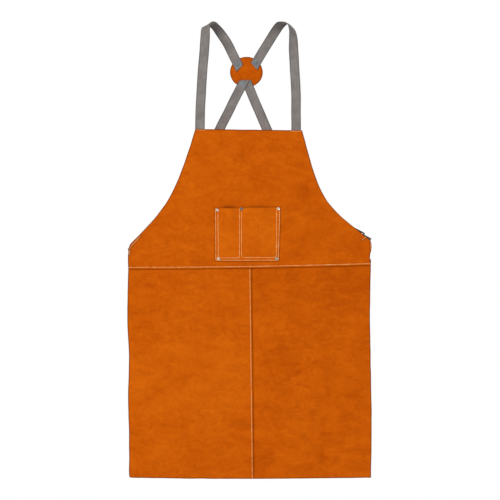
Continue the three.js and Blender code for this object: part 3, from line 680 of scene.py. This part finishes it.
def stitches(name, rows, material, seed):
    """Separate stitches along rows of (route, lie, facing).

    lie(x, z) is the surface that a row lies on, and facing is -1 on a front face and 1 on a back one.
    """
    pick = random.Random(seed)
    sections = 8
    profile = ((0.0, 0.5, -0.95), (0.1, 0.78, -0.3), (0.3, 1.0, 0.3), (0.5, 1.05, 0.42),
               (0.7, 1.0, 0.3), (0.9, 0.78, -0.3), (1.0, 0.5, -0.95))
    shares_along = np.array([share for share, _, _ in profile])
    points, faces = [], []
    for route, lie, facing in rows:
        total = run_lengths(route)[-1]
        count = max(1, round(total / STITCH_PITCH))
        pitch = total / count
        for k in range(count):
            low, high = k * pitch + STITCH_GAP / 2, (k + 1) * pitch - STITCH_GAP / 2
            slant = (0.16 + 0.1 * pick.random()) * MM
            tight = 1 + 0.12 * (pick.random() - 0.5)
            middle = at_lengths(route, low + (high - low) * shares_along)
            along = middle[-1] - middle[0]
            along = along / np.linalg.norm(along)
            side = np.array([-along[1], along[0]])
            middle = middle + side * (slant * (2 * shares_along - 1))[:, None] * -facing
            surface = lie(middle[:, 0], middle[:, 1])
            base = len(points)
            for (_, thick, lift), (px, pz), py in zip(profile, middle, surface):
                radius = THREAD_RADIUS * thick * tight
                for turn in range(sections):
                    angle = 2 * math.pi * turn / sections
                    out, over = math.sin(angle) * radius, math.cos(angle) * radius
                    points.append((
                        px + side[0] * over,
                        py + facing * (lift * THREAD_RADIUS + out * 0.85),
                        pz + side[1] * over,
                    ))
            order = 1 if facing > 0 else -1
            tube = (len(profile), sections, base)
            faces += [face[::order] for face in (*tube_faces(*tube), *end_faces(*tube))]
    obj = piece(name, points, faces, material, "thread")
    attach(obj, APRON)
    return obj


# ---------------------------------------------------------------- leather panels

bib_outline = front_outline("bib_panel")
left_outline = front_outline("skirt_panel_left")
right_outline = front_outline("skirt_panel_right")
waist_row = sewn_route("waist_seam_thread", lambda p: -p.x)
centre_row = sewn_route("centre_seam_thread", lambda p: p.z)
CORNER_ROWS = ("corner_thread_left", "corner_thread_right_across", "corner_thread_right_side")
corner_rows = [sewn_route(name, lambda p: p.z) for name in CORNER_ROWS]

# old folds and broad patches as shares of each panel: (start, end, half width in mm, strength), below 0 for a
# dip darkened by painted shade, above 0 for painted light
BIB_FOLD_SHADING = (
    ((0.62, 0.1), (0.95, 0.16), 16, -0.35),
    ((0.1, 0.2), (0.42, 0.12), 14, 0.3),
)
LEFT_FOLD_SHADING = (
    ((0.2, 0.36), (0.8, 0.46), 130, 0.55),
    ((0.12, 0.28), (0.6, 0.42), 13, 0.6),
    ((0.3, 0.62), (0.8, 0.55), 18, 0.35),
    ((0.05, 0.1), (0.7, 0.18), 16, 0.3),
    ((0.08, 0.34), (0.5, 0.5), 5, -0.4),
)
RIGHT_FOLD_SHADING = (
    ((0.2, 0.9), (0.8, 0.9), 90, -0.45),
    ((0.22, 0.42), (0.55, 0.53), 4, -0.8),
    ((0.08, 0.66), (0.24, 0.44), 4.5, -0.55),
    ((0.3, 0.6), (0.75, 0.7), 22, -0.4),
    ((0.62, 0.28), (0.6, 0.08), 6, -0.75),
    ((0.72, 0.3), (0.7, 0.12), 9, 0.45),
)


def four_sides(outline, seed):
    """An outline's bottom, right, top and left sides, each cut by hand."""
    at = [corner(outline, *way) for way in ((-1, -1), (1, -1), (0.5, 1), (-0.5, 1))]
    loop = np.roll(outline, -at[0], axis=0)
    places = [(i - at[0]) % len(outline) for i in at] + [len(outline)]
    loop = np.vstack([loop, loop[:1]])
    bottom, right, top, left = (loop[places[k] : places[k + 1] + 1] for k in range(4))
    return {
        "bottom": cut_side(bottom, seed=seed),
        "right": cut_side(right, seed=seed + 1.3),
        "top": cut_side(top[::-1], seed=seed + 2.6),
        "left": cut_side(left[::-1], seed=seed + 3.9),
    }


bib_front, skirt_front = hung_at(BIB_FRONT), hung_at(SKIRT_FRONT)


def corner_darkening(x, z):
    """A darker grey-brown strip along the rows at the bib's side corners."""
    most, reach = 0.45, 3.5 * MM
    lines = np.vstack([evenly(row, 1 * MM) for row in corner_rows])
    gap = distance_to(np.stack([x, z], axis=1), lines, 30 * MM)
    return most * np.exp(-((gap / reach) ** 2))


# the bib's darkening: painted shade above the pocket's mouth and the darker strip at its side corners
def bib_soil(x, z):
    return np.maximum(mouth_shade(x, z), corner_darkening(x, z))


def make_bib():
    rows = [waist_row, *pocket_rows, *corner_rows]
    panel = leather_panel(
        "bib", four_sides(bib_outline, 0.4), bib_front, HIDE, 5.5 * MM, PANEL_LEATHER, "leather",
        rows=rows, marks_up=(5.3 * MM,), soil_of=bib_soil,
        folds=on_panel(bib_low, bib_high, BIB_FOLD_SHADING), lapped="bottom", seed=2.0,
    )
    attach(panel, APRON)
    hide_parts("bib_panel")


def make_skirt_left():
    edge_to_row = 4.5 * MM
    sides = four_sides(left_outline, 5.1)
    width = run_lengths(sides["bottom"])[-1]
    panel = leather_panel(
        "skirt_left", sides, skirt_front, HIDE, 6.5 * MM, PANEL_LEATHER, "leather",
        rows=[waist_row, centre_row], marks_across=(width - edge_to_row,),
        folds=on_panel(skirt_low, skirt_high, LEFT_FOLD_SHADING), lapped="right", seed=9.0,
    )
    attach(panel, APRON)
    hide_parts("skirt_panel_left")


def make_skirt_right():
    """The right panel, with its hidden edge stepped back behind the left one."""
    step_back, hidden = 7 * MM, 16 * MM
    low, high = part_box("skirt_panel_right")
    sides = four_sides(right_outline, 8.2)
    seen_edge = sides["left"][np.argsort(sides["left"][:, 1])]
    shift = np.array([step_back + hidden, 0])
    sides["left"] = sides["left"] - shift
    for side in ("bottom", "top"):
        sides[side] = np.vstack([sides[side][0] - shift, sides[side]])

    def front(x, z):
        foot = np.interp(z, seen_edge[:, 1], seen_edge[:, 0])
        stepped = 1 - smoothstep(x, foot - step_back, foot)
        return skirt_front(x, z) + (LAP_FRONT - SKIRT_FRONT) * stepped

    panel = leather_panel(
        "skirt_right", sides, front, HIDE, 6.5 * MM, PANEL_LEATHER, "leather",
        rows=[waist_row], marks_across=(hidden, hidden + step_back / 2, hidden + step_back),
        folds=on_panel(low, high, RIGHT_FOLD_SHADING), seed=14.0,
    )
    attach(panel, APRON)
    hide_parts("skirt_panel_right")


# ---------------------------------------------------------------- pocket

POCKET_ROWS = ("pocket_outer_thread", "pocket_left_thread", "pocket_right_thread")
pocket_rows = [sewn_route(name, lambda p: p.z - p.x) for name in POCKET_ROWS]


def compartments():
    """The two stretches, in x, over which the pocket stands open."""
    return [(low.x, high.x) for low, high in map(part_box, POCKET_ROWS[1:])]


def pocket_open(x, z):
    """How far the pocket stands off the bib, from 0 at its sewn rows to MOUTH_DEPTH at the mouth."""
    height = (z - pocket_low.z) / (pocket_high.z - pocket_low.z)
    rise = smoothstep(height, 0.08, 1.0)
    out = np.zeros(np.shape(x))
    for low, high in compartments():
        share = np.clip((x - low) / (high - low), 0, 1)
        out = out + MOUTH_DEPTH * np.sin(math.pi * share) ** 2 * rise
    return out


def pocket_front(x, z):
    return POCKET_FRONT + hang(x, z) - pocket_open(x, z)


def mouth_shade(x, z):
    """Painted shade on the bib just above the pocket's mouth, strongest where the mouth stands open."""
    top = pocket_high.z - 1.2 * MM
    opened = pocket_open(x, np.full(np.shape(x), pocket_high.z)) / MOUTH_DEPTH
    return 0.8 * opened * np.exp(-(((z - top) / (2.2 * MM)) ** 2))


def make_pocket():
    mesh = merged("chest_pocket")
    points = np.array([[v.co.x, v.co.z] for v in mesh.verts])
    mesh.free()
    lower_left, lower_right, top_right, top_left = (
        points[corner(points, *way)] for way in ((-1, -1), (1, -1), (1, 1), (-1, 1))
    )
    ends = {
        "bottom": (lower_left, lower_right), "right": (lower_right, top_right),
        "top": (top_left, top_right), "left": (lower_left, top_left),
    }
    sides = {
        side: cut_side(np.array(pair), wobble=0.35 * MM, seed=20.0 + k)
        for k, (side, pair) in enumerate(ends.items())
    }
    width = float(np.linalg.norm(lower_right - lower_left))
    gaps = [edge - lower_left[0] for edge in np.ravel(compartments())]
    panel = leather_panel(
        "pocket", sides, pocket_front, POCKET_HIDE, 3.6 * MM, POCKET_LEATHER, "pocket_leather",
        rows=pocket_rows, marks_across=(2.4 * MM, *gaps, width - 2.4 * MM),
        marks_up=(2.6 * MM, 9.2 * MM), seed=25.0,
    )
    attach(panel, APRON)
    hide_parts("chest_pocket")


# ---------------------------------------------------------------- patch


def make_patch():
    """The round patch, cut by hand, with the four strap ends sewn on its front."""
    centre = (patch_low + patch_high) / 2
    half_width, half_height = (patch_high.x - patch_low.x) / 2, (patch_high.z - patch_low.z) / 2
    radius = (half_width + half_height) / 2
    thickness = patch_high.y - patch_low.y
    around, rings = 96, 16
    turns = 2 * math.pi * np.arange(around) / around
    uneven = 1 + 0.012 * wander(np.cos(turns), np.sin(turns), 0.8, 40.0)
    reaches = [(radius - CUT_INSET - d) / radius for d in (0, *FINE)]
    reaches += list(np.linspace(reaches[-1], 0, rings)[1:-1])
    layers = []
    levels = [(s, 0.0) for s in reaches[::-1]] + [(1.0, through) for through in RIM_SHARES]
    levels += [(s, 1.0) for s in reaches]
    for share, front_share in levels:
        x = centre.x + half_width * share * uneven * np.cos(turns)
        z = centre.z + half_height * share * uneven * np.sin(turns)
        dent = dents(x, z, 42.0 + 3 * front_share) * (1 if front_share in (0.0, 1.0) else 0)
        y = patch_low.y + thickness * front_share + dent * (1 - 2 * front_share)
        layers.append(np.stack([x, y, z], axis=1))
    points = np.vstack(layers + [
        [[centre.x, patch_low.y, centre.z]],
        [[centre.x, patch_high.y, centre.z]],
    ])
    front_middle, back_middle = len(points) - 2, len(points) - 1
    last = (len(layers) - 1) * around
    triangles = [(front_middle, k, (k + 1) % around) for k in range(around)]
    triangles += [(back_middle, last + (k + 1) % around, last + k) for k in range(around)]
    edge = np.concatenate([
        np.full(around, d) for d in
        [radius * (1 - s) / MM for s in reaches[::-1]] + [0, 0] + [radius * (1 - s) / MM for s in reaches]
    ] + [[EDGE_FAR / MM] * 2])
    patch = piece(
        "patch", points, tube_faces(len(layers), around) + triangles, PANEL_LEATHER, "leather",
        edge=edge, soil=edge * 0, shade=edge * 0 - 0.6,
    )
    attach(patch, APRON)
    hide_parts("back_patch")


# ---------------------------------------------------------------- webbing


def webbing_section(width, thickness):
    """The closed outline of webbing across its width, as (across, through) pairs."""
    count = 2 * WEBBING_RIBS + 5
    places = np.sin(np.linspace(-math.pi / 2, math.pi / 2, count)) * width / 2
    ribs = 0.5 + 0.5 * np.cos(2 * math.pi * WEBBING_RIBS * places / width)
    round_off = np.sqrt(np.clip(1 - (np.abs(places) / (width / 2)) ** 14, 0, 1))
    half = thickness / 2 * (0.84 + 0.12 * ribs) * np.maximum(round_off, 0.3)
    front = list(zip(places, half))
    back = list(zip(places[::-1], -half[::-1]))
    return np.array(front + back)


def cut_shift(tangent, across, cut):
    """How far a slanted cut moves the end along the strap, for each unit of distance from its middle."""
    def turn(a, b):
        return a[0] * b[1] - a[1] * b[0]
    return -turn(across[[0, 2]], cut) / turn(tangent[[0, 2]], cut)


def make_webbing(node, first, soil_of=None, blend_to=None, first_cut=None, last_cut=None):
    """A strap that replaces its CAD band, on the same route.

    first_cut and last_cut are the (x, z) directions of an end's cut edge, for an end that isn't cut square.
    """
    centres, widths = band_frames(node, first)
    rings = cross_sections(node, first)
    # the 16 distances between a ring's corners: 4 of nothing, then 4 of the thickness, then of the width
    spans = np.sort(np.linalg.norm(rings[0][:, None] - rings[0][None], axis=2).ravel())
    thickness, width = spans[4], spans[8]
    line, across = flowing(centres), flowing(widths)
    along = run_lengths(line)
    length = along[-1]
    places = np.linspace(0, length, round(length / WEBBING_STEP) + 1)
    line_at = at_lengths(line, places)
    across_at = np.stack([np.interp(places, along, across[:, k]) for k in range(3)], axis=1)
    tangent = np.gradient(line_at, axis=0)
    tangent /= np.linalg.norm(tangent, axis=1)[:, None]
    across_at -= tangent * np.sum(across_at * tangent, axis=1)[:, None]
    across_at /= np.linalg.norm(across_at, axis=1)[:, None]
    through = np.cross(tangent, across_at)
    section = webbing_section(width, thickness)
    around = len(section)
    drift = 0.35 * MM * wander(places, places * 0, 45 * MM, 60.0)
    slants = np.zeros(len(places))
    reach = 2 * width
    for end, cut, from_end in ((0, first_cut, places), (-1, last_cut, length - places)):
        if cut is not None:
            slants += cut_shift(tangent[end], across_at[end], cut) * np.clip(1 - from_end / reach, 0, 1)
    points, weave = [], []
    for k, place in enumerate(places):
        middle = line_at[k] + across_at[k] * drift[k]
        shift = slants[k] * section[:, :1]
        square = middle + section[:, :1] * across_at[k] + section[:, 1:] * through[k]
        points.append(square + shift * tangent[k])
        weave.append(np.stack([section[:, 0], place + shift[:, 0], np.sign(section[:, 1])], axis=1))
    faces = [(a, b, c, d) for a, d, c, b in tube_faces(len(places), around)]
    faces += [end[::-1] for end in end_faces(len(places), around)]
    points = np.vstack(points)
    soil = np.zeros(len(points)) if soil_of is None else soil_of(points)
    strap = piece(node.replace("_strap", "_webbing").replace("_tab", "_loop"), points, faces,
                  WEBBING, "webbing", weave=np.vstack(weave), soil=soil)
    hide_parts(node)
    if blend_to is None:
        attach(strap, APRON)
    else:
        other, start, end = blend_to
        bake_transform(strap)


def crest_shade(points):
    """The shoulder loops get painted shade where their inner face turns over behind the crest."""
    behind = smoothstep(points[:, 1], 0, 12 * MM)
    return CREST_PAINTED_SHADE * behind * smoothstep(points[:, 2], -40 * MM, -14 * MM)


def tab_shade(points):
    """Painted shade on the side tabs, dark all over."""
    return np.full(len(points), TAB_PAINTED_SHADE)


def make_straps():
    tail, slack, slope = 75 * MM, 60 * MM, 1.12
    for side in SIDES:
        plug = f"buckle_plug_{side}"
        low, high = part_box(plug)
        middle = (low + high) / 2
        joint = next(j for j in frame["joints"] if j["child"] == f"plug_{side}")
        axis = Vector(joint["axis"])
        tail_end = middle + axis * tail
        slack_start = tail_end + axis * slack
        outward = -1 if side == "left" else 1
        steep = (1, -slope * outward)
        make_webbing(f"shoulder_strap_{side}", lambda p: -p.z,
                     crest_shade, last_cut=steep)
        make_webbing(f"back_strap_{side}", lambda p: p.z,
                     blend_to=(f"plug_{side}", slack_start, tail_end), first_cut=(1, 0))
        make_webbing(f"side_tab_{side}", lambda p, way=outward: way * p.x - 4 * p.y,
                     tab_shade)


# ---------------------------------------------------------------- buckles and rivets


def make_moulding(node, body):
    """A moulded copy of a CAD buckle half: its flat faces joined up and every sharp edge rounded."""
    mesh = merged(node)
    bmesh.ops.dissolve_limit(mesh, angle_limit=math.radians(2), verts=mesh.verts, edges=mesh.edges)
    data = bpy.data.meshes.new(node)
    mesh.to_mesh(data)
    mesh.free()
    obj = add_object(node.replace("buckle", "clip"), data)
    data.materials.append(PLASTIC)
    data.shade_smooth()
    bevel = obj.modifiers.new("edges", "BEVEL")
    bevel.width = 0.4 * MM
    bevel.segments = 3
    bevel.limit_method = "ANGLE"
    bevel.angle_limit = math.radians(32)
    bevel.harden_normals = True
    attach(obj, body)
    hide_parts(node)


def turned(name, profile, x, z, node, tarnish):
    """A round piece about an axis that runs front to back, from (radius, y) pairs."""
    around = 40
    points = []
    for radius, y in profile:
        for k in range(around):
            angle = 2 * math.pi * k / around
            points.append((x + radius * math.cos(angle), y, z + radius * math.sin(angle)))
    faces = [*tube_faces(len(profile), around), *end_faces(len(profile), around)]
    obj = piece(name, points, faces, NICKEL, "rivet_metal", tarnish=np.full(len(points), tarnish))
    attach(obj, APRON)
    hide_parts(node)


def eased(profile, steps=5):
    """A turned profile with its corners rounded."""
    return [tuple(p) for p in flowing(np.array(profile), steps)]


def make_rivet(name):
    cap, post = f"rivet_{name}_cap", f"rivet_{name}_post"
    tarnish = GREYER_RIVETS.get(name, RIVET_GREYING)
    low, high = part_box(cap)
    x, z = (low.x + high.x) / 2, (low.z + high.z) / 2
    radius = (high.x - low.x) / 2
    set_back = float(hang(x, z))
    seat = POCKET_FRONT + set_back + 0.1 * MM
    rise = 1.9 * MM
    head = eased([
        (radius * 0.96, seat), (radius, seat - 0.35 * rise), (radius * 0.9, seat - 0.72 * rise),
        (radius * 0.66, seat - rise), (radius * 0.42, seat - 0.86 * rise),
        (radius * 0.26, seat - 0.62 * rise), (radius * 0.05, seat - 0.56 * rise),
    ])
    turned(f"{cap}_head", head[::-1], x, z, cap, tarnish)
    back_radius = radius * 0.95
    back_seat = BIB_BACK + set_back
    back_rise = 1.1 * MM
    back = eased([
        (back_radius * 0.05, back_seat + 0.55 * back_rise), (back_radius * 0.3, back_seat + 0.6 * back_rise),
        (back_radius * 0.5, back_seat + back_rise), (back_radius * 0.85, back_seat + 0.8 * back_rise),
        (back_radius, back_seat + 0.3 * back_rise), (back_radius * 0.97, back_seat - 0.1 * MM),
    ])
    turned(f"{post}_head", back[::-1], x, z, post, tarnish)


# ---------------------------------------------------------------- sewn rows


def on_plane(y):
    return lambda x, z: np.full(np.shape(x), y)


def box_rows(node):
    """A sewn box with its two diagonals, from the corners of its CAD plate."""
    mesh = merged(node)
    points = np.array([[v.co.x, v.co.z] for v in mesh.verts])
    mesh.free()
    middle = points.mean(axis=0)
    far = np.linalg.norm(points - middle, axis=1)
    outer = np.unique(np.round(points[far > far.max() - 0.1 * MM], 6), axis=0)
    turn = np.argsort(np.arctan2(*(outer - middle).T[::-1]))
    a, b, c, d = outer[turn]
    return [np.array([a, b, c, d, a]), np.array([a, c]), np.array([b, d])]


def sew(node, rows, seed, material=THREAD):
    thread = stitches(f"{node}_stitches", rows, material, seed)
    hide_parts(node)


def make_sewing():
    lap_back, bib_back, hidden_lap_back = map(hung_at, (SKIRT_BACK, BIB_BACK, LAP_FRONT + HIDE))
    sew("waist_seam_thread", [(waist_row, bib_front, -1), (waist_row, lap_back, 1)], 11)
    sew("centre_seam_thread", [(centre_row, skirt_front, -1), (centre_row, hidden_lap_back, 1)], 12)
    for k, (name, row) in enumerate(zip(POCKET_ROWS, pocket_rows)):
        sew(name, [(row, pocket_front, -1), (row, bib_back, 1)], 20 + k)
    strap_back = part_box("shoulder_strap_left")[0].y + 1.6 * MM
    for k, side in enumerate(SIDES):
        row = sewn_route(f"strap_tack_{side}", lambda p: -p.x)
        sew(f"strap_tack_{side}", [(row, bib_front, -1), (row, on_plane(strap_back), 1)], 30 + k)
    for k, (name, row) in enumerate(zip(CORNER_ROWS, corner_rows)):
        sew(name, [(row, bib_front, -1)], 40 + k)
    for k, name in enumerate(("patch_tack_shoulder_left", "patch_tack_shoulder_right", "patch_tack_back")):
        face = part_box(name)[1].y + 0.3 * MM
        faces = ((face, -1), (patch_high.y, 1))
        both = [(row, on_plane(y), facing) for y, facing in faces for row in box_rows(name)]
        sew(name, both, 50 + k, DULL_THREAD)


# ---------------------------------------------------------------- studio


def make_camera():
    """A long lens square to the apron's front, level with its middle."""
    shown_width = 1.3075
    distance = 20.0
    aim = Vector((0.0005, BIB_FRONT, -0.5988))
    camera = bpy.data.cameras.new("camera")
    camera.sensor_width = 36.0
    camera.lens = camera.sensor_width * distance / shown_width
    camera.clip_end = 60
    obj = add_object("camera", camera)
    obj.location = aim - Vector((0, distance, 0))
    obj.rotation_euler = (math.pi / 2, 0, 0)
    bpy.context.scene.camera = obj


def area_light(name, place, aim, size, power, colour=(1, 1, 1)):
    light = bpy.data.lights.new(name, "AREA")
    light.shape = "RECTANGLE"
    light.size, light.size_y = size
    light.energy = power
    light.color = colour
    obj = add_object(name, light)
    obj.location = place
    obj.rotation_euler = (Vector(aim) - Vector(place)).to_track_quat("-Z", "Y").to_euler()


def make_studio():
    middle = (0, 0, -0.6)
    area_light("key", (-1.9, -3.0, 1.3), middle, (1.6, 1.6), 90)
    area_light("fill", (2.6, -3.0, -0.3), middle, (2.2, 2.2), 29)
    area_light("rear", (1.2, 3.2, 1.2), middle, (2.0, 2.0), 51)
    world = bpy.data.worlds.new("studio")
    world.use_nodes = True
    tree = world.node_tree
    seen = tree.nodes.new("ShaderNodeBackground")
    seen.inputs["Color"].default_value = (1, 1, 1, 1)
    lit = tree.nodes["Background"]
    lit.inputs["Color"].default_value = (1, 1, 1, 1)
    lit.inputs["Strength"].default_value = 0.385
    path = tree.nodes.new("ShaderNodeLightPath")
    mix = tree.nodes.new("ShaderNodeMixShader")
    tree.links.new(path.outputs["Is Camera Ray"], mix.inputs[0])
    tree.links.new(lit.outputs[0], mix.inputs[1])
    tree.links.new(seen.outputs[0], mix.inputs[2])
    tree.links.new(mix.outputs[0], tree.nodes["World Output"].inputs["Surface"])
    bpy.context.scene.world = world
    bpy.context.scene.view_settings.view_transform = "Standard"


def make_floor():
    """A plain pale floor well below the hem."""
    n = Nodes("pale_floor")
    speckle = n.noise(n.place(), 30, 3, 0.5)
    n.finish(n.ramp(speckle, [(0.3, srgb(246, 246, 246)), (0.7, srgb(250, 250, 250))]))
    n.set(Roughness=0.9)
    half, drop = 1.8, 0.22
    level = HEM - drop
    points = [(-half, -half, level), (half, -half, level), (half, half, level), (-half, half, level)]
    mesh = bpy.data.meshes.new("floor")
    mesh.from_pydata(points, [], [(0, 1, 2, 3)])
    mesh.materials.append(n.material)
    add_object("floor", mesh)


make_camera()
make_studio()
make_floor()
make_straps()
make_bib()
make_skirt_left()
make_skirt_right()
make_pocket()
make_patch()
for side_name in SIDES:
    make_moulding(f"buckle_socket_{side_name}", APRON)
    make_moulding(f"buckle_plug_{side_name}", f"plug_{side_name}")
for rivet_name in ("top_left", "top_middle", "top_right", "bottom_left", "bottom_right"):
    make_rivet(rivet_name)
make_sewing()
